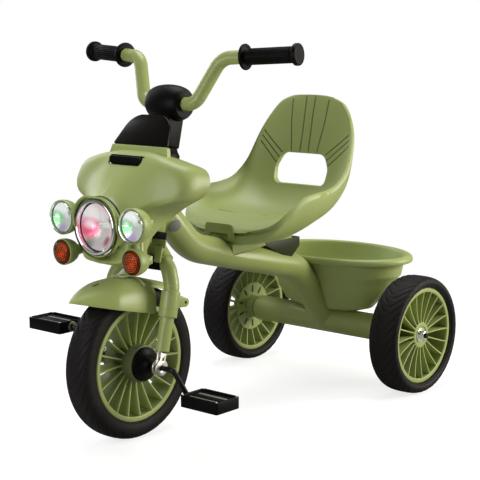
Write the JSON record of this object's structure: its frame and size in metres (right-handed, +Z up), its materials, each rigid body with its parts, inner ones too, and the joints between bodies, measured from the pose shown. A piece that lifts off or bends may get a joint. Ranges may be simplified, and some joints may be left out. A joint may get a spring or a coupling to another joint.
{
  "type": "kids tricycle",
  "caption": "Ride-on tricycle with a raked steering fork, pedals on the front wheel, a wing-shaped fairing with lamps, a bucket seat and a rear basket",
  "frame": {"origin": "on the floor, under the middle of the tricycle's bounding box", "axes": "+Z up, the tricycle faces -Y, +X is the rider's left"},
  "size_m": [0.456, 0.7851, 0.6253],
  "materials": {
    "green_paint": "satin olive paint",
    "green_plastic": "satin olive moulded plastic",
    "black_plastic": "fine-grained black plastic",
    "tyre": "matt black, lightly textured",
    "steel": "plain bright steel",
    "zinc": "satin zinc plating",
    "chrome": "bright chrome plating",
    "smoked_plastic": "smoked, nearly black, glossy",
    "clear_lens": "clear moulded plastic",
    "amber_lens": "brown-amber moulded plastic"
  },
  "bodies": {
    "frame": {"frame": "green_paint", "head_bush_top": "black_plastic", "head_bush_bottom": "black_plastic", "seat_bracket": "black_plastic", "seat": "green_plastic", "basket": "green_plastic", "rear_axle": "steel", "rear_nut_left": "steel", "rear_nut_right": "steel", "rear_washer_left": "steel", "rear_washer_right": "steel", "axle_bush_left": "black_plastic", "axle_bush_right": "black_plastic"},
    "steering": {"steering_column": "steel", "fork_crown": "green_paint", "fork_leg_left": "green_paint", "fork_leg_right": "green_paint", "fork_lower_left": "green_paint", "fork_lower_right": "green_paint", "fork_sleeve_left": "green_paint", "fork_sleeve_right": "green_paint", "dropout_left": "zinc", "dropout_right": "zinc", "fender": "green_plastic", "fender_bracket": "green_paint", "handlebar_clamp": "black_plastic", "stem_cover": "black_plastic", "handlebar": "green_paint", "grip_left": "black_plastic", "grip_right": "black_plastic", "fairing": "green_plastic", "fairing_bracket": "steel", "vent_insert": "black_plastic", "windshield": "smoked_plastic", "headlight_bucket": "black_plastic", "headlight_bezel": "chrome", "headlight_lens": "clear_lens", "aux_lamp_shell_left": "green_plastic", "aux_lamp_shell_right": "green_plastic", "aux_lamp_lens_left": "clear_lens", "aux_lamp_lens_right": "clear_lens", "turn_signal_shell_left": "green_plastic", "turn_signal_shell_right": "green_plastic", "turn_signal_lens_left": "amber_lens", "turn_signal_lens_right": "amber_lens", "lamp_bracket_left": "green_paint", "lamp_bracket_right": "green_paint"},
    "front_wheel": {"front_rim": "green_plastic", "front_tyre": "tyre", "crank": "steel", "hub_cover_left": "black_plastic", "hub_cover_right": "black_plastic", "pedal_washer_left": "steel", "pedal_washer_right": "steel"},
    "pedal_left": {"pedal_left": "black_plastic"},
    "pedal_right": {"pedal_right": "black_plastic"},
    "rear_wheel_left": {"rear_rim_left": "green_plastic", "rear_tyre_left": "tyre"},
    "rear_wheel_right": {"rear_rim_right": "green_plastic", "rear_tyre_right": "tyre"}
  },
  "joints": [
    {"name": "steering", "type": "hinge", "parent": "frame", "child": "steering", "pos_m": [0, -0.26307, 0.12362], "axis": [0, 0.2284, 0.9736], "range_deg": [-40, 40]},
    {"name": "front_wheel_spin", "type": "hinge", "parent": "steering", "child": "front_wheel", "pos_m": [0, -0.26307, 0.12362], "axis": [1, 0, 0], "continuous": true},
    {"name": "pedal_left_spin", "type": "hinge", "parent": "front_wheel", "child": "pedal_left", "pos_m": [0.14675, -0.23807, 0.07862], "axis": [1, 0, 0], "continuous": true},
    {"name": "pedal_right_spin", "type": "hinge", "parent": "front_wheel", "child": "pedal_right", "pos_m": [-0.14675, -0.28807, 0.16862], "axis": [1, 0, 0], "continuous": true},
    {"name": "rear_left_spin", "type": "hinge", "parent": "frame", "child": "rear_wheel_left", "pos_m": [0.1955, 0.25733, 0.10567], "axis": [1, 0, 0], "continuous": true},
    {"name": "rear_right_spin", "type": "hinge", "parent": "frame", "child": "rear_wheel_right", "pos_m": [-0.1955, 0.25733, 0.10567], "axis": [1, 0, 0], "continuous": true}
  ]
}
